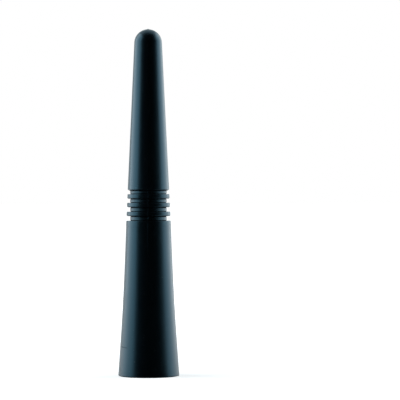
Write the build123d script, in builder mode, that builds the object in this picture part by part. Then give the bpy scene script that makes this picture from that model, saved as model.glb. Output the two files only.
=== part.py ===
"""Short car antenna mast: a moulded sleeve over a wound conductor, on a threaded socket.

Millimetres. The origin is the centre of the flat base, and +Z runs up the mast to its tip.
"""
import math
import os

from build123d import *

# Outer form of the sleeve
overall_height = 89.0
tip_radius = 3.55
taper_end_diameter = 10.64
shoulder_diameter = 11.42
base_diameter = 15.73
base_chamfer = 0.2
flare_hollow = 0.21

# Ribs and grooves between the flared foot and the upper taper
shoulder_height = 39.82
rib_count = 3
rib_height = 1.18
rib_chamfer = 0.15
groove_diameter = 9.4
lowest_groove = 1.15
groove_step = 0.06
lip_rise = 0.37

# Threaded socket, M6 x 1 tapped through a tapping-size hole
thread_hole_diameter = 5.0
thread_length = 10.0
mouth_chamfer = 0.7
drill_point_angle = 118.0
socket_wall = 1.3
socket_setback = 0.3
retention_groove_width = 2.0
retention_groove_depth = 0.6
web_thickness = 0.9
crimp_wall = 0.6

# Former and its winding
former_diameter = 3.0
former_seat_depth = 4.0
former_chamfer = 0.4
wire_diameter = 0.5
bare_end = 2.0
tip_wall = 14.0

# Clearances
bond_gap = 0.05
winding_gap = 0.05
bore_gap = 0.3

# The taper is tangent to the domed tip
groove_count = rib_count + 1
groove_widths = [lowest_groove - groove_step * i for i in range(groove_count)]
grooves_total = sum(groove_widths) + rib_count * rib_height
groove_radius = groove_diameter / 2
taper_end_radius = taper_end_diameter / 2
cutter_reach = max(shoulder_diameter, taper_end_diameter)
taper_end_height = shoulder_height + grooves_total + lip_rise / 2
dome_centre = overall_height - tip_radius
taper_run = dome_centre - taper_end_height
to_dome = math.hypot(taper_end_radius, taper_run)
taper_angle = math.atan2(taper_end_radius, taper_run) - math.asin(tip_radius / to_dome)
tip_contact = (
    tip_radius * math.cos(taper_angle),
    dome_centre + tip_radius * math.sin(taper_angle),
)
tip_middle = (
    tip_radius * math.cos((taper_angle + math.pi / 2) / 2),
    dome_centre + tip_radius * math.sin((taper_angle + math.pi / 2) / 2),
)

# Heights and radii of the pieces inside, from the socket's face upwards
thread_hole_radius = thread_hole_diameter / 2
former_radius = former_diameter / 2
drill_point = thread_hole_radius / math.tan(math.radians(drill_point_angle / 2))
thread_start = socket_setback + mouth_chamfer
thread_end = thread_start + thread_length
socket_shoulder = thread_end + drill_point
former_foot = socket_shoulder + web_thickness
neck_top = former_foot + former_seat_depth
former_top = overall_height - tip_wall
socket_radius = thread_hole_radius + mouth_chamfer + socket_wall
former_seat_radius = former_radius + bond_gap
neck_radius = former_seat_radius + crimp_wall
coil_inner_radius = former_radius + winding_gap
coil_outer_radius = coil_inner_radius + wire_diameter
sleeve_bore_radius = max(neck_radius, coil_outer_radius) + bore_gap
coil_length = former_top - bare_end - neck_top

# Moulded sleeve: one turned outline, grooves cut round it, then the stepped hole from below
with BuildPart() as mast_sleeve:
    with BuildSketch(Plane.XZ):
        with BuildLine():
            Line((0, 0), (base_diameter / 2, 0))
            SagittaArc(
                (base_diameter / 2, 0),
                (shoulder_diameter / 2, shoulder_height),
                flare_hollow,
            )
            Polyline(
                (shoulder_diameter / 2, shoulder_height),
                (taper_end_radius, taper_end_height),
                tip_contact,
            )
            ThreePointArc(tip_contact, tip_middle, (0, overall_height))
            Line((0, overall_height), (0, 0))
        make_face()
    revolve(axis=Axis.Z)
    base_edge = mast_sleeve.edges().filter_by(GeomType.CIRCLE).sort_by(Axis.Z)[0]
    chamfer(base_edge, length=base_chamfer)

    groove_bottom = shoulder_height
    with BuildSketch(Plane.XZ):
        for i, width in enumerate(groove_widths):
            top_slope = lip_rise / 2 if i == groove_count - 1 else 0
            with BuildLine():
                Polyline(
                    (groove_radius, groove_bottom),
                    (cutter_reach, groove_bottom),
                    (cutter_reach, groove_bottom + width + top_slope),
                    (taper_end_radius, groove_bottom + width + top_slope),
                    (groove_radius, groove_bottom + width - top_slope),
                    close=True,
                )
            make_face()
            groove_bottom += width + rib_height
    revolve(axis=Axis.Z, mode=Mode.SUBTRACT)
    rib_edges = (
        mast_sleeve.edges()
        .filter_by(GeomType.CIRCLE)
        .filter_by_position(Axis.Z, shoulder_height, taper_end_height, inclusive=(True, False))
        .filter_by(lambda edge: edge.radius > (groove_radius + taper_end_radius) / 2)
    )
    chamfer(rib_edges, length=rib_chamfer)

    with BuildSketch(Plane.XZ):
        with BuildLine():
            Polyline(
                (0, 0),
                (socket_radius + bond_gap, 0),
                (socket_radius + bond_gap, socket_shoulder + bond_gap),
                (sleeve_bore_radius, socket_shoulder + bond_gap),
                (sleeve_bore_radius, former_top + bore_gap),
                (0, former_top + bore_gap),
                close=True,
            )
        make_face()
    revolve(axis=Axis.Z, mode=Mode.SUBTRACT)

# Threaded socket: a turned bush with a retention groove and a neck crimped on the former
with BuildPart() as threaded_socket:
    groove_middle = (thread_start + thread_end) / 2
    with BuildSketch(Plane.XZ):
        with BuildLine():
            Polyline(
                (thread_hole_radius + mouth_chamfer, socket_setback),
                (socket_radius, socket_setback),
                (socket_radius, socket_shoulder),
                (neck_radius, socket_shoulder),
                (neck_radius, neck_top),
                (former_seat_radius, neck_top),
                (former_seat_radius, former_foot),
                (0, former_foot),
                (0, socket_shoulder),
                (thread_hole_radius, thread_end),
                (thread_hole_radius, thread_start),
                close=True,
            )
        make_face()
        with Locations((socket_radius - retention_groove_depth / 2, groove_middle)):
            Rectangle(retention_groove_depth, retention_groove_width, mode=Mode.SUBTRACT)
    revolve(axis=Axis.Z)

# Former: a round rod that stands in the neck, with its free end chamfered
with BuildPart() as coil_former:
    with BuildSketch(Plane.XY.offset(former_foot)):
        Circle(former_radius)
    extrude(amount=former_top - former_foot)
    chamfer(coil_former.faces().sort_by(Axis.Z)[-1].edges(), length=former_chamfer)

# Winding: the close turns of one layer of wire, from the neck to near the former's end
with BuildPart() as radiator_coil:
    with BuildSketch(Plane.XY.offset(neck_top)):
        Circle(coil_outer_radius)
        Circle(coil_inner_radius, mode=Mode.SUBTRACT)
    extrude(amount=coil_length)

os.makedirs("parts", exist_ok=True)
mast_sleeve.part.label = "mast_sleeve"
threaded_socket.part.label = "threaded_socket"
coil_former.part.label = "coil_former"
radiator_coil.part.label = "radiator_coil"
for piece in (mast_sleeve, threaded_socket, coil_former, radiator_coil):
    export_step(piece.part, f"parts/{piece.part.label}.step")
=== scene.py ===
# %% [markdown]
# # A short car antenna mast
# The mast is a black moulded sleeve over a wound rod, with a threaded bush in its foot. The packed
# CAD model is the fixed frame: it says where every piece is and how large it is. This script gives
# the pieces their fine shapes and finishes, and then stands the mast in a plain white studio.
# Lengths are written in millimetres, as on a drawing, and multiplied by `mm` where Blender needs
# metres. Only the studio's floor, lamps and camera are placed in metres.

# %% Load the frame
import math

import bpy
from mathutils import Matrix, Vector


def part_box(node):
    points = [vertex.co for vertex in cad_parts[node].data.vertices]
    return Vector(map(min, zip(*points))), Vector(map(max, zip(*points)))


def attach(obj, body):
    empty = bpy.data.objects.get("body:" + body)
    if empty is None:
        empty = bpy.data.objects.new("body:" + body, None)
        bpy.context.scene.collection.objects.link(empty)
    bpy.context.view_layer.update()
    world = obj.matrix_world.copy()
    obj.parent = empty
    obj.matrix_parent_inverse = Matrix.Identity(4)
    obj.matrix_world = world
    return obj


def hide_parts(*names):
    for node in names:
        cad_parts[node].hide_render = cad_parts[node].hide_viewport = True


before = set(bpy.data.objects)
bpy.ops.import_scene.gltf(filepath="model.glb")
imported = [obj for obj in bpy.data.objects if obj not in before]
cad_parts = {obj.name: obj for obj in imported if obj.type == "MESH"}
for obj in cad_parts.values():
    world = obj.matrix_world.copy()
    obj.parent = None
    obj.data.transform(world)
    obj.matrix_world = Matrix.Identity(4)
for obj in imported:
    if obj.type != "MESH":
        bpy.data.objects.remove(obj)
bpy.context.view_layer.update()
mm = 0.001
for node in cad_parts:
    low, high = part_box(node)
    print(node, "from", [round(c / mm, 2) for c in low], "to", [round(c / mm, 2) for c in high])

# %% [markdown]
# ## Writing node trees as sums
# Materials and Geometry Nodes are both trees of small nodes. Wiring each one by hand is long to read,
# so two small classes do it. A `Wire` is an output socket that understands + - * / and comparisons,
# each of which adds one Math node. A `Tree` adds any other node: its settings first, then the values
# or wires of its sockets.

# %% Wires
class Wire:
    """An output socket. Arithmetic on it adds Math nodes to its tree."""

    def __init__(self, tree, socket):
        self.tree = tree
        self.socket = socket

    def output(self, name):
        """Another output of the same node."""
        return Wire(self.tree, self.socket.node.outputs[name])

    def maths(self, operation, *values):
        return self.tree.add("ShaderNodeMath", dict(enumerate(values)), operation=operation)

    def __add__(self, other):
        return self.maths("ADD", self, other)

    def __radd__(self, other):
        return self.maths("ADD", other, self)

    def __sub__(self, other):
        return self.maths("SUBTRACT", self, other)

    def __rsub__(self, other):
        return self.maths("SUBTRACT", other, self)

    def __mul__(self, other):
        return self.maths("MULTIPLY", self, other)

    def __rmul__(self, other):
        return self.maths("MULTIPLY", other, self)

    def __truediv__(self, other):
        return self.maths("DIVIDE", self, other)

    def __rtruediv__(self, other):
        return self.maths("DIVIDE", other, self)

    def __gt__(self, other):
        return self.maths("GREATER_THAN", self, other)

    def __lt__(self, other):
        return self.maths("LESS_THAN", self, other)

    def __abs__(self):
        return self.maths("ABSOLUTE", self)


print("wires understand sums and comparisons")

# %% Trees
class Tree:
    """Adds nodes to one node tree, for a material, the world or a piece's geometry."""

    def __init__(self, tree):
        self.tree = tree
        tree.nodes.clear()

    def add(self, kind, sockets=None, output=0, **settings):
        """A node of a kind, as the wire of one output, or None if it has no output."""
        node = self.tree.nodes.new(kind)
        for name, value in settings.items():
            setattr(node, name, value)
        for name, value in (sockets or {}).items():
            if isinstance(value, Wire):
                self.tree.links.new(value.socket, node.inputs[name])
            else:
                node.inputs[name].default_value = value
        return Wire(self, node.outputs[output]) if node.outputs else None

    def blend(self, share, first, second):
        """A colour that goes from the first to the second as share goes from 0 to 1."""
        return self.add("ShaderNodeMix", {0: share, 6: first, 7: second}, 2, data_type="RGBA")

    def rise(self, value, low, high):
        """0 below low, 1 above high, with a smooth step between them."""
        sockets = {"Value": value, "From Min": low, "From Max": high}
        return self.add("ShaderNodeMapRange", sockets, interpolation_type="SMOOTHSTEP")


print("trees add any other node")

# %% [markdown]
# ## Where a pattern sits
# Every finish reads Object coordinates, because the pieces sit at the origin with their place in the
# mesh. Scaled to millimetres, the numbers in a material are then real sizes on the mast. The mast is
# round, so a point's distance from the axis and its angle round it are often handier than X and Y.

# %% Materials start the same way
def new_finish(name):
    """An empty material, its tree, and the surface point in millimetres."""
    material = bpy.data.materials.new(name)
    material.use_nodes = True
    tree = Tree(material.node_tree)
    point = tree.add("ShaderNodeTexCoord", output="Object")
    point = tree.add("ShaderNodeVectorMath", {0: point, "Scale": 1 / mm}, operation="SCALE")
    return material, tree, point


def end_finish(tree, shader):
    tree.add("ShaderNodeOutputMaterial", {"Surface": shader})


def split(tree, point):
    """The point's X, Y and Z."""
    x = tree.add("ShaderNodeSeparateXYZ", {0: point})
    return x, x.output("Y"), x.output("Z")


def from_axis(x, y):
    """The distance of a point from the mast's axis."""
    return x.maths("SQRT", x * x + y * y)


def noise(tree, point, per_mm, detail):
    """Soft random blotches, about so many to the millimetre."""
    return tree.add("ShaderNodeTexNoise", {"Vector": point, "Scale": per_mm, "Detail": detail})


def stretched(tree, point, scale):
    """The point for a pattern that is drawn out along each axis whose scale is below 1."""
    return tree.add("ShaderNodeMapping", {"Vector": point, "Scale": scale})


def relief(tree, height, strength, depth):
    """A bump of the given depth in millimetres."""
    return tree.add("ShaderNodeBump", {"Height": height, "Strength": strength, "Distance": depth * mm})


print("finishes read Object coordinates, in millimetres")

# %% [markdown]
# ## The moulded black finish
# The sleeve is satin black, with cool blue-grey reflections where the light grazes it. The tint is in
# the surface's own reflection, so it goes on the shader's Specular Tint. The mould's fine grain is a
# small bump. A faint cloudiness in the roughness breaks up the long highlights, as handling does. The
# grooves are a little duller than the rest, and one hairline scratch runs round the left of the foot.
# Both could be shaders of their own in a mix. They only differ in roughness, so two masks that are
# added to the roughness do the same with one shader.

# %% Masks of the scratch and the grooves
scratch_start = (-1.3, -1.15)
scratch_end = (-0.84, -0.78)
scratch_height = 7.117
scratch_fall = 0.4
scratch_half_width = (0.04, 0.18)
waist_low, waist_high = 39.5, 48.0
groove_edge = (4.75, 5.05)


def scratch_mask(tree, x, y, z):
    """1 on the scratch. It falls by scratch_fall in a radian, and the angle is 0 at the front."""
    turn = x.maths("ARCTAN2", x, 0.0 - y)
    along = tree.rise(turn, *scratch_start) * (1 - tree.rise(turn, *scratch_end))
    line = z - (scratch_height - turn * scratch_fall)
    return along * (1 - tree.rise(abs(line), *scratch_half_width))


def groove_mask(tree, x, y, z):
    """1 on the floors of the grooves."""
    at_waist = (z > waist_low) * (z < waist_high)
    return at_waist * (1 - tree.rise(from_axis(x, y), *groove_edge))


print("the scratch is", scratch_height - scratch_end[1] * scratch_fall, "mm up at its inner end")

# %% Moulded black
deep_black = (0.0004, 0.0006, 0.001, 1)
soft_black = (0.0009, 0.0013, 0.0018, 1)
dust = (0.09, 0.1, 0.105, 1)
dust_share = 0.25
dust_limits = (0.735, 0.77)
cool_gloss = (0.26, 0.71, 1.0, 1)
satin = 0.285
clouded, dull_groove, dull_scratch = 0.08, 0.06, 0.32


def moulded_black():
    material, tree, point = new_finish("moulded_black")
    x, y, z = split(tree, point)
    grain = noise(tree, point, per_mm=6.0, detail=3.0)
    cloud = noise(tree, stretched(tree, point, (1.0, 1.0, 0.35)), per_mm=0.35, detail=4.0)
    speck = tree.rise(noise(tree, point, per_mm=2.6, detail=1.0), *dust_limits)
    colour = tree.blend(cloud, deep_black, soft_black)
    colour = tree.blend(speck * dust_share, colour, dust)
    roughness = satin + cloud * clouded + groove_mask(tree, x, y, z) * dull_groove
    roughness = roughness + scratch_mask(tree, x, y, z) * dull_scratch
    shader = tree.add("ShaderNodeBsdfPrincipled", {
        "Base Color": colour,
        "Roughness": roughness,
        "IOR": 1.5,
        "Specular Tint": cool_gloss,
        "Normal": relief(tree, grain, strength=0.12, depth=0.03),
    })
    end_finish(tree, shader)
    return material


black = moulded_black()
print("made", black.name)

# %% [markdown]
# ## The metals and the rod
# The bush is turned brass with a thin nickel plate, so its rings follow the distance from the axis.
# The wire is bare copper, a little darker in places. The rod is glass fibre in resin: pale, matt, with
# long fibres along the mast. All three could be photographs of metal and fibre, wrapped on with a UV
# map. Noise needs no picture and no map, and it stays sharp close up.

# %% Plated brass
def plated_brass():
    bright, stained = (0.64, 0.61, 0.54, 1), (0.55, 0.51, 0.43, 1)
    material, tree, point = new_finish("plated_brass")
    x, y, z = split(tree, point)
    turned_point = tree.add("ShaderNodeCombineXYZ", {0: from_axis(x, y), 1: z})
    rings = noise(tree, turned_point, per_mm=9.0, detail=2.0)
    stain = noise(tree, point, per_mm=0.9, detail=4.0)
    shader = tree.add("ShaderNodeBsdfPrincipled", {
        "Base Color": tree.blend(stain, bright, stained),
        "Metallic": 1.0,
        "Roughness": 0.24 + stain * 0.14,
        "Normal": relief(tree, rings, strength=0.25, depth=0.02),
    })
    end_finish(tree, shader)
    return material


brass = plated_brass()
print("made", brass.name)

# %% Drawn copper
def drawn_copper():
    clean, darkened = (0.74, 0.36, 0.21, 1), (0.5, 0.21, 0.11, 1)
    dark_limits = (0.4, 0.65)
    material, tree, point = new_finish("drawn_copper")
    patch = noise(tree, point, per_mm=0.6, detail=4.0)
    shader = tree.add("ShaderNodeBsdfPrincipled", {
        "Base Color": tree.blend(tree.rise(patch, *dark_limits), clean, darkened),
        "Metallic": 1.0,
        "Roughness": 0.26 + patch * 0.2,
    })
    end_finish(tree, shader)
    return material


copper = drawn_copper()
print("made", copper.name)

# %% Glass fibre
def glass_fibre():
    pale, shaded = (0.7, 0.68, 0.54, 1), (0.5, 0.48, 0.34, 1)
    material, tree, point = new_finish("glass_fibre")
    fibres = noise(tree, stretched(tree, point, (1.0, 1.0, 0.03)), per_mm=7.0, detail=3.0)
    shader = tree.add("ShaderNodeBsdfPrincipled", {
        "Base Color": tree.blend(fibres, pale, shaded),
        "Roughness": 0.5 + fibres * 0.2,
        "Normal": relief(tree, fibres, strength=0.3, depth=0.03),
    })
    end_finish(tree, shader)
    return material


fibre = glass_fibre()
print("made", fibre.name)

# %% [markdown]
# ## Drawing an outline
# The sleeve and the bush are bodies of revolution, so each is one outline on the (radius, height)
# plane. A drawing gives corners and their rounding radii, and so does this script: `rounded` turns a
# list of (radius, height, rounding) corners into points, with an arc at each rounded corner. Beside
# each arc a support point keeps the smooth shading of the arc from spreading over the flat next to it.

# %% Arcs
def arc(centre, radius, start, end, facets):
    """Points on an arc, angles in radians."""
    points = []
    for i in range(facets + 1):
        angle = start + (end - start) * i / facets
        across = centre[0] + radius * math.cos(angle)
        up = centre[1] + radius * math.sin(angle)
        points.append(Vector((across, up)))
    return points


def hollow(first, last, sagitta, facets):
    """Points on the shallow arc from first to last, bowed towards the axis by its sagitta."""
    first, last = Vector(first), Vector(last)
    chord = last - first
    side = Vector((-chord.y, chord.x)).normalized()
    if side.x > 0:
        side = -side
    points = []
    for i in range(1, facets):
        share = i / facets
        points.append(first + chord * share + side * sagitta * 4 * share * (1 - share))
    return points


print("arcs are ready")

# %% Rounded corners
arc_facets = 6
support = 0.06


def rounded(corners):
    """The outline's points: each corner is (radius, height) or (radius, height, rounding)."""
    places = [Vector(c[:2]) for c in corners]
    points = [places[0]]
    for i in range(1, len(corners) - 1):
        rounding = corners[i][2] if len(corners[i]) == 3 else 0
        if not rounding:
            points.append(places[i])
            continue
        back = (places[i - 1] - places[i]).normalized()
        ahead = (places[i + 1] - places[i]).normalized()
        half = back.angle(ahead) / 2
        reach = rounding / math.tan(half)
        centre = places[i] + (back + ahead).normalized() * rounding / math.sin(half)
        points.append(places[i] + back * (reach + support))
        for step in range(arc_facets + 1):
            share = step / arc_facets
            chord = (places[i] + back * reach).lerp(places[i] + ahead * reach, share) - centre
            points.append(centre + chord.normalized() * rounding)
        points.append(places[i] + ahead * (reach + support))
    points.append(places[-1])
    return points


print("rounded corners have", arc_facets, "facets")

# %% [markdown]
# ## Turning it on a lathe with Geometry Nodes
# The outline could be spun with a Screw modifier or bmesh. A Geometry Nodes sweep says the same in
# two nodes, Curve Circle and Curve to Mesh, and leaves room to work on the turned surface in the same
# tree: the sleeve gets its mould's parting line there, and the bush its screw thread. Curve to Mesh
# needs a path of some size, so the circle has a small pivot radius, and the outline is moved in by as
# much. Points that fall together on the axis are merged, which closes the two poles. Edges that turn
# sharply stay sharp.

# %% Outlines and trees for the lathe
pivot = 1.0 * mm


def outline_curve(name, points):
    """A poly curve through the points, laid out for a sweep round a circle of the pivot radius."""
    curve = bpy.data.curves.new(name, "CURVE")
    curve.dimensions = "3D"
    spline = curve.splines.new("POLY")
    spline.points.add(len(points) - 1)
    for place, point in zip(spline.points, points):
        place.co = (point.x * mm - pivot, -point.y * mm, 0, 1)
    return bpy.data.objects.new(name, curve)


def new_geometry(name, sizes):
    """A Geometry Nodes tree with a geometry input and one named input for each size."""
    group = bpy.data.node_groups.new(name, "GeometryNodeTree")
    group.interface.new_socket("Geometry", in_out="INPUT", socket_type="NodeSocketGeometry")
    for size, value in sizes.items():
        kind = "NodeSocketInt" if isinstance(value, int) else "NodeSocketFloat"
        group.interface.new_socket(size, in_out="INPUT", socket_type=kind)
    group.interface.new_socket("Material", in_out="INPUT", socket_type="NodeSocketMaterial")
    group.interface.new_socket("Geometry", in_out="OUTPUT", socket_type="NodeSocketGeometry")
    tree = Tree(group)
    return tree, tree.add("NodeGroupInput")


print("the pivot radius is", pivot / mm, "mm")

# %% The lathe
merge_distance = 0.0001 * mm
sharp_angle = math.radians(35)


def turned(tree, inputs):
    """The outline swept round the axis, with closed poles."""
    circle = tree.add("GeometryNodeCurvePrimitiveCircle", {
        "Resolution": inputs.output("Segments"),
        "Radius": inputs.output("Pivot"),
    })
    swept = tree.add("GeometryNodeCurveToMesh", {"Curve": circle, "Profile Curve": inputs})
    return tree.add("GeometryNodeMergeByDistance", {"Geometry": swept, "Distance": merge_distance})


def end_geometry(tree, inputs, geometry):
    """Smooth shading with sharp corners, then what the export needs."""
    smooth = tree.add("GeometryNodeSetShadeSmooth", {"Geometry": geometry})
    angle = tree.add("GeometryNodeInputMeshEdgeAngle")
    sharp = tree.add("GeometryNodeSetShadeSmooth", {
        "Geometry": smooth,
        "Selection": angle > sharp_angle,
        "Shade Smooth": False,
    }, domain="EDGE")
    real = tree.add("GeometryNodeRealizeInstances", {"Geometry": sharp})
    finished = tree.add("GeometryNodeSetMaterial", {
        "Geometry": real,
        "Material": inputs.output("Material"),
    })
    tree.add("NodeGroupOutput", {"Geometry": finished})


print("the lathe is ready")

# %% [markdown]
# ## Working on a turned surface
# On a turned surface it is handy to know each point's direction from the axis, its radius, its angle
# and its height. A point is then pushed outward by a rule. A tree only becomes a piece when a modifier
# runs it, so the last helper runs it once and keeps the result as a plain mesh.

# %% Pushing points outward
def around(tree):
    """The direction from the axis, and the radius, angle and height of a point, in metres."""
    x, y, z = split(tree, tree.add("GeometryNodeInputPosition"))
    flat = tree.add("ShaderNodeCombineXYZ", {0: x, 1: y})
    outward = tree.add("ShaderNodeVectorMath", {0: flat}, operation="NORMALIZE")
    return outward, from_axis(x, y), x.maths("ARCTAN2", y, x), z


def push(tree, geometry, chosen, outward, distance):
    """Moves the chosen points outward by a distance."""
    offset = tree.add("ShaderNodeVectorMath", {0: outward, "Scale": distance}, operation="SCALE")
    return tree.add("GeometryNodeSetPosition", {
        "Geometry": geometry,
        "Selection": chosen,
        "Offset": offset,
    })


print("points can be pushed outward")

# %% Keeping the mesh
def make_piece(name, source, group, sizes, material):
    """Runs a tree on a source object and keeps the result as a plain mesh object."""
    bpy.context.scene.collection.objects.link(source)
    modifier = source.modifiers.new("shape", "NODES")
    modifier.node_group = group
    values = {**sizes, "Material": material}
    for socket in group.interface.items_tree:
        if socket.in_out == "INPUT" and socket.name in values:
            modifier[socket.identifier] = values[socket.name]
    evaluated = source.evaluated_get(bpy.context.evaluated_depsgraph_get())
    mesh = bpy.data.meshes.new_from_object(evaluated)
    mesh.name = name
    source.modifiers.remove(modifier)
    bpy.data.objects.remove(source)
    piece = bpy.data.objects.new(name, mesh)
    bpy.context.scene.collection.objects.link(piece)
    print(name, "has", len(mesh.vertices), "points and", len(mesh.polygons), "faces")
    return piece


print("pieces are kept as plain meshes")

# %% [markdown]
# ## The moulded sleeve
# The sleeve is what one sees: a domed tip that runs on into a long slim taper, three ribs between
# four grooves for the fingers, and a foot that flares in a shallow hollow curve to the flat base. Its
# rim and ribs are rounded, as a moulding is, and the ribs are rounder below than above. The corners of
# the grooves are undercut, which shows as fine dark lines beside the ribs. A small nib on the tip is
# where the mould was filled. Inside, a stepped blind hole takes the bush and the wound rod.

# %% Sizes of the sleeve
overall_height = 89.0
tip_radius = 3.55
taper_end_radius = 5.32
shoulder_radius = 5.71
shoulder_height = 39.82
base_radius = 7.865
base_rounding = 0.2
flare_hollow = 0.21
flare_facets = 24
dome_facets = 32

rib_count = 3
rib_height = 1.18
rib_rounding = 0.15
underside_rounding = 0.28
groove_radius = 4.7
undercut_depth = 0.18
undercut_above = 0.2
undercut_below = 0.16
lip_rise = 0.37
lowest_groove = 1.15
groove_step = 0.06

socket_bore = (4.55, 12.552)
coil_bore = (2.45, 75.3)
mouth_rounding = 0.1
nib_height = 0.08
nib_radius = 0.33
nib_points = 4
nib_step = 0.4

groove_widths = [lowest_groove - groove_step * i for i in range(rib_count + 1)]
waist_top = shoulder_height + sum(groove_widths) + rib_count * rib_height
lip_height = waist_top + lip_rise / 2
dome_centre = overall_height - tip_radius
taper_run = dome_centre - lip_height
to_dome = math.hypot(taper_end_radius, taper_run)
taper_angle = math.atan2(taper_end_radius, taper_run) - math.asin(tip_radius / to_dome)
print("the taper leans", round(math.degrees(taper_angle), 2), "degrees")

# %% [markdown]
# ## Outline of the sleeve
# The outline starts at the tip, goes down the outside and across the base, and returns up the hole.
# The grooves get narrower upwards by one step each, so a loop writes the corners of the waist.

# %% Corners of the waist
def rib_edge(height):
    """Radius of the line from the shoulder to the taper's lower end, which the ribs reach."""
    share = (height - shoulder_height) / (lip_height - shoulder_height)
    return shoulder_radius + (taper_end_radius - shoulder_radius) * share


def waist():
    """Corners of the grooves and ribs, from the taper's lip down to the shoulder."""
    corners = [
        (taper_end_radius, lip_height, rib_rounding),
        (groove_radius, waist_top - lip_rise / 2),
    ]
    top = waist_top
    for width in reversed(groove_widths):
        bottom = top - width
        if top < waist_top:
            corners.append((groove_radius - undercut_depth, top))
            corners.append((groove_radius, top - undercut_above))
        corners.append((groove_radius, bottom + undercut_below))
        corners.append((groove_radius - undercut_depth, bottom))
        corners.append((rib_edge(bottom), bottom, rib_rounding))
        top = bottom - rib_height
        if top > shoulder_height - rib_height:
            corners.append((rib_edge(top), top, underside_rounding))
    return corners


print("the waist has", len(waist()), "corners")

# %% Outline of the sleeve
def nib(foot):
    """Points of the small nib on the tip, from the axis outwards."""
    angles = [nib_step * i for i in range(nib_points)]
    return [(nib_radius * math.sin(a), foot + nib_height * math.cos(a)) for a in angles]


def sleeve_outline():
    nib_angle = math.acos(nib_radius / tip_radius)
    nib_foot = dome_centre + tip_radius * math.sin(nib_angle)
    dome = arc((0, dome_centre), tip_radius, nib_angle, taper_angle, dome_facets)
    shoulder, rim = (shoulder_radius, shoulder_height), (base_radius, 0)
    flare = hollow(shoulder, rim, flare_hollow, flare_facets)
    inside = [
        (base_radius, 0, base_rounding),
        (socket_bore[0], 0, mouth_rounding),
        socket_bore,
        (coil_bore[0], socket_bore[1]),
        coil_bore,
        (0, coil_bore[1]),
    ]
    outside = nib(nib_foot) + [tuple(p) for p in dome] + waist() + [tuple(p) for p in flare]
    return rounded(outside + inside)


sleeve_points = sleeve_outline()
print("the sleeve's outline has", len(sleeve_points), "points")

# %% [markdown]
# ## The parting line
# The two halves of the mould leave a faint line up the front and the back of the sleeve. It could be
# painted into the finish. A ridge in the mesh catches the light by itself, so the points a quarter turn
# from X are pushed out by a few hundredths of a millimetre, on the outside only. The ridge fades out
# towards the base and the tip.

# %% Turn the sleeve and raise its parting line
ridge_height = 0.06
ridge_foot = (10.0 * mm, 40.0 * mm)
ridge_head = (78.0 * mm, 87.0 * mm)
solid_tip = 77.0 * mm
hole_margin = 0.02
line_tolerance = 0.001
sleeve_sizes = {
    "Segments": 256,
    "Pivot": pivot,
    "Ridge": ridge_height * mm,
    "Hole": (socket_bore[0] + hole_margin) * mm,
}
tree, inputs = new_geometry("turned_sleeve", sleeve_sizes)
body = turned(tree, inputs)
outward, radius, angle, height = around(tree)
on_line = abs(angle.maths("COSINE", angle)) < line_tolerance
outside = radius.maths("MAXIMUM", radius > inputs.output("Hole"), height > solid_tip)
fade = tree.rise(height, *ridge_foot) * (1 - tree.rise(height, *ridge_head))
body = push(tree, body, on_line * outside, outward, inputs.output("Ridge") * fade)
end_geometry(tree, inputs, body)
sleeve_curve = outline_curve("sleeve_outline", sleeve_points)
sleeve = make_piece("moulded_sleeve", sleeve_curve, tree.tree, sleeve_sizes, black)

# %% [markdown]
# ## The threaded bush
# The bush is a turned piece: a groove round its middle keys it into the moulding, a thin neck is
# crimped round the rod, and the hole from below has a right-hand M6 x 1 thread. A thread can be a
# swept profile cut with a Boolean, which is slow and fragile. Here the hole's wall has many rows of
# points, and the tree moves each one outward by a trapezoid wave of its height and angle. The wave's
# depth and its two flats are shares of the pitch, as in the thread's standard.

# %% Outline of the bush
bush_radius = 4.5
bush_face = 0.3
hole_radius = 2.5
mouth_radius = 3.2
thread_start = 1.0
thread_end = 11.0
bush_top = 12.502
rod_foot = 13.402
neck_top = 17.402
neck_radius = 2.15
rod_seat = 1.55
key_radius, key_low, key_high = 3.9, 5.0, 7.0
edge_rounding = 0.12
mouth_edge = 0.08
thread_pitch = 1.0
depth_share = 0.5413
thread_depth = depth_share * thread_pitch
rows_per_turn = 14

thread_length = thread_end - thread_start
thread_rows = round(thread_length / thread_pitch * rows_per_turn)
wall = [(hole_radius, thread_start + thread_length * i / thread_rows) for i in range(thread_rows + 1)]
bush_points = rounded([
    (0, rod_foot),
    (rod_seat, rod_foot),
    (rod_seat, neck_top),
    (neck_radius, neck_top, edge_rounding),
    (neck_radius, bush_top),
    (bush_radius, bush_top, edge_rounding),
    (bush_radius, key_high, edge_rounding),
    (key_radius, key_high, edge_rounding),
    (key_radius, key_low, edge_rounding),
    (bush_radius, key_low, edge_rounding),
    (bush_radius, bush_face, edge_rounding),
    (mouth_radius, bush_face, mouth_edge),
    *wall,
    (0, bush_top),
])
print("the bush's outline has", len(bush_points), "points")

# %% Turn the bush and cut its thread
crest_flat, root_flat = 1 / 4, 1 / 8
run_in = 0.3 * mm
run_out_start, run_out_end = 1.2 * mm, 0.4 * mm
tolerance = 0.001 * mm
bush_sizes = {
    "Segments": 96,
    "Pivot": pivot,
    "Pitch": thread_pitch * mm,
    "Depth": thread_depth * mm,
    "Start": thread_start * mm,
    "End": thread_end * mm,
}
tree, inputs = new_geometry("turned_bush", bush_sizes)
body = turned(tree, inputs)
outward, radius, angle, height = around(tree)
start, end = inputs.output("Start"), inputs.output("End")
turns = height / inputs.output("Pitch") - angle / math.tau
phase = turns.maths("FRACT", turns)
peak = 1 - abs(phase * 2 - 1)
wave = tree.add("ShaderNodeClamp", {"Value": (peak - crest_flat) / (1 - crest_flat - root_flat)})
fade_out = tree.rise(height, end - run_out_start, end - run_out_end)
fade = tree.rise(height, start, start + run_in) * (1 - fade_out)
in_hole = (abs(radius - hole_radius * mm) < tolerance) * (height < end + tolerance)
body = push(tree, body, in_hole, outward, wave * fade * inputs.output("Depth"))
end_geometry(tree, inputs, body)
bush_curve = outline_curve("bush_outline", bush_points)
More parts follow.
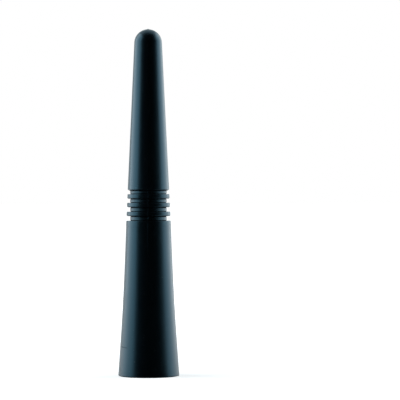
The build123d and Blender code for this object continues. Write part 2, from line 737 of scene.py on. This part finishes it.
bush = make_piece("threaded_bush", bush_curve, tree.tree, bush_sizes, brass)

# %% [markdown]
# ## The winding
# The conductor is one layer of close turns on the rod, from the neck almost to its end. It could be a
# small circle wound up by a Screw modifier. A helix is a path that follows a rule, so here the Curve
# Spiral node gives the path and Curve to Mesh the wire, with open sizes. One turn is a little taller
# than the wire, so that the turns lie side by side without touching.

# %% Wind the coil
winding_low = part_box("radiator_coil")[0].z
winding_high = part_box("radiator_coil")[1].z
wire_radius = 0.25 * mm
winding_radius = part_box("radiator_coil")[1].x - wire_radius
turn_height = 0.52 * mm
winding_length = winding_high - winding_low - 2 * wire_radius
coil_sizes = {
    "Points per turn": 28,
    "Wire sides": 8,
    "Turns": winding_length / turn_height,
    "Winding radius": winding_radius,
    "Length": winding_length,
    "Foot": winding_low + wire_radius,
    "Wire radius": wire_radius,
}
tree, inputs = new_geometry("wound_coil", coil_sizes)
helix = tree.add("GeometryNodeCurveSpiral", {
    "Resolution": inputs.output("Points per turn"),
    "Rotations": inputs.output("Turns"),
    "Start Radius": inputs.output("Winding radius"),
    "End Radius": inputs.output("Winding radius"),
    "Height": inputs.output("Length"),
})
lift = tree.add("ShaderNodeCombineXYZ", {"Z": inputs.output("Foot")})
helix = tree.add("GeometryNodeSetPosition", {"Geometry": helix, "Offset": lift})
section = tree.add("GeometryNodeCurvePrimitiveCircle", {
    "Resolution": inputs.output("Wire sides"),
    "Radius": inputs.output("Wire radius"),
})
wire = tree.add("GeometryNodeCurveToMesh", {
    "Curve": helix,
    "Profile Curve": section,
    "Fill Caps": True,
})
end_geometry(tree, inputs, wire)
coil_seed = bpy.data.objects.new("coil_seed", bpy.data.meshes.new("coil_seed"))
coil = make_piece("copper_winding", coil_seed, tree.tree, coil_sizes, copper)
print("the coil has", round(coil_sizes["Turns"], 1), "turns")

# %% [markdown]
# ## Joining the frame
# The new pieces stand for the CAD nodes of the same form, and ride on the one body of the part. The
# rod keeps its CAD shape, which is already right, and only gets its finish.

# %% Hand the pieces to the frame
for piece, node, slot in (
    (sleeve, "mast_sleeve", "moulded_black"),
    (bush, "threaded_socket", "plated_brass"),
    (coil, "radiator_coil", "copper"),
):
    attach(piece, "root")
    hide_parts(node)
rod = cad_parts["coil_former"]
rod.data.materials.clear()
rod.data.materials.append(fibre)

# %% [markdown]
# ## The studio
# The mast stands on a white floor in front of a white sweep. The floor and the world are white to the
# camera by Light Path, at strength 1, and no lamp is raised for it. Near the mast the floor glows less
# and leaves the rest to the lamps, so it keeps the soft shadow. In the mast's reflections the sweep is
# a little cool, and the room on the camera's side is dark. The floor on the camera's side is painted
# dark in reflections only, a painted shade as if that part of the floor were unlit. That gives a black
# mast its black middle between two pale bands.

# %% White paper
white = (1, 1, 1, 1)
paper_white = (0.82, 0.82, 0.82, 1)
# Painted shade: the floor's colour on the camera's side, in reflections only.
painted_floor_shade = (0.02, 0.02, 0.02, 1)
side_limits = (-0.6, -0.3)
glow_start, glow_end = 100.0, 400.0
near_glow = 0.56


def light_paths(tree):
    """1 on rays from the camera, and 1 on rays that gloss or glass sends on."""
    ray = tree.add("ShaderNodeLightPath", output="Is Camera Ray")
    mirrored = ray.maths("MAXIMUM", ray.output("Is Glossy Ray"), ray.output("Is Transmission Ray"))
    return ray, mirrored


def white_floor():
    material, tree, point = new_finish("white_floor")
    x, y, z = split(tree, point)
    ray, mirrored = light_paths(tree)
    away = from_axis(x, y)
    behind = tree.rise(y / away, *side_limits)
    # In reflections the floor on the camera's side takes the painted shade, a dark colour as if unlit.
    colour = tree.blend(mirrored * (1 - behind), paper_white, painted_floor_shade)
    matt = tree.add("ShaderNodeBsdfDiffuse", {"Color": colour})
    far = tree.rise(away, glow_start, glow_end)
    seen = ray.maths("MAXIMUM", ray, mirrored * behind)
    strength = seen * (near_glow + far * (1 - near_glow))
    glow = tree.add("ShaderNodeEmission", {"Color": white, "Strength": strength})
    end_finish(tree, tree.add("ShaderNodeAddShader", {0: matt, 1: glow}))
    return material


paper = white_floor()
print("made", paper.name)

# %% Lay the floor
floor_reach = 60.0
floor_mesh = bpy.data.meshes.new("floor")
floor_corners = [(-floor_reach, -floor_reach, 0), (floor_reach, -floor_reach, 0),
                 (floor_reach, floor_reach, 0), (-floor_reach, floor_reach, 0)]
floor_mesh.from_pydata(floor_corners, [], [(0, 1, 2, 3)])
floor_mesh.materials.append(paper)
floor = bpy.data.objects.new("floor", floor_mesh)
bpy.context.scene.collection.objects.link(floor)
print("the floor reaches", floor_reach, "m each way")

# %% White sweep
cool_sweep = (0.76, 0.93, 1.0, 1)
sweep_limits = (-0.1, 0.3)
sweep_lean = 0.1
ambient = 0.2
world = bpy.data.worlds.new("studio")
bpy.context.scene.world = world
world.use_nodes = True
tree = Tree(world.node_tree)
ray, mirrored = light_paths(tree)
x, y, z = split(tree, tree.add("ShaderNodeTexCoord", output="Generated"))
sweep = tree.rise(y + z * sweep_lean, *sweep_limits)
unseen = mirrored * sweep + (1 - mirrored) * ambient
background = tree.add("ShaderNodeBackground", {
    "Color": tree.blend(ray, cool_sweep, white),
    "Strength": ray + (1 - ray) * unseen,
})
tree.add("ShaderNodeOutputWorld", {"Surface": background})
print("the sweep is white, with an ambient light of", ambient)

# %% [markdown]
# ## The soft boxes
# Two large soft boxes stand on the floor at the sides of the mast, a little behind it. Their mirror
# images are the two pale bands along its edges, which tell its round form. Small lamps would show as
# thin streaks instead. How far a box reaches to the front sets where its band ends, and how far it
# reaches to the back sets how bright the edge is.

# %% Place the soft boxes
cool_white = (0.9, 0.97, 1.0)
box_distance = 0.6


def soft_box(name, bearing, width, height, power):
    """An area lamp that faces the mast, at a bearing in degrees from the camera's side."""
    lamp = bpy.data.lights.new(name, "AREA")
    lamp.shape = "RECTANGLE"
    lamp.size = width
    lamp.size_y = height
    lamp.energy = power
    lamp.color = cool_white
    turn = math.radians(bearing)
    from_mast = Vector((math.sin(turn), -math.cos(turn), 0))
    box = bpy.data.objects.new(name, lamp)
    box.location = from_mast * box_distance + Vector((0, 0, height / 2))
    box.rotation_euler = (-from_mast).to_track_quat("-Z", "Y").to_euler()
    box.visible_camera = False
    bpy.context.scene.collection.objects.link(box)
    print(name, "is", width, "by", height, "m")


soft_box("left_box", bearing=-95.5, width=0.84, height=0.79, power=6.67)
soft_box("right_box", bearing=113.75, width=0.88, height=0.7, power=4.84)

# %% [markdown]
# ## The camera
# The photograph was taken with a long lens from about half a metre away, level with the middle of
# the mast, which stands left of the picture's middle. The camera looks straight along +Y, so that
# upright lines stay parallel without any shift, and it is rolled by a trace, as the mast in the
# photograph leans by a trace.

# %% Place the camera
camera_place = (0.01325, -0.532, 0.0451)
camera_roll = 0.13
focal_length = 186.3
lens = bpy.data.cameras.new("camera")
lens.sensor_width = 36.0
lens.lens = focal_length
lens.clip_start = 0.01
lens.clip_end = 20.0
camera = bpy.data.objects.new("camera", lens)
camera.location = camera_place
camera.rotation_euler = (math.pi / 2, math.radians(camera_roll), 0)
bpy.context.scene.collection.objects.link(camera)
bpy.context.scene.camera = camera
bpy.context.scene.view_settings.view_transform = "Standard"
print("the camera stands at", camera_place)
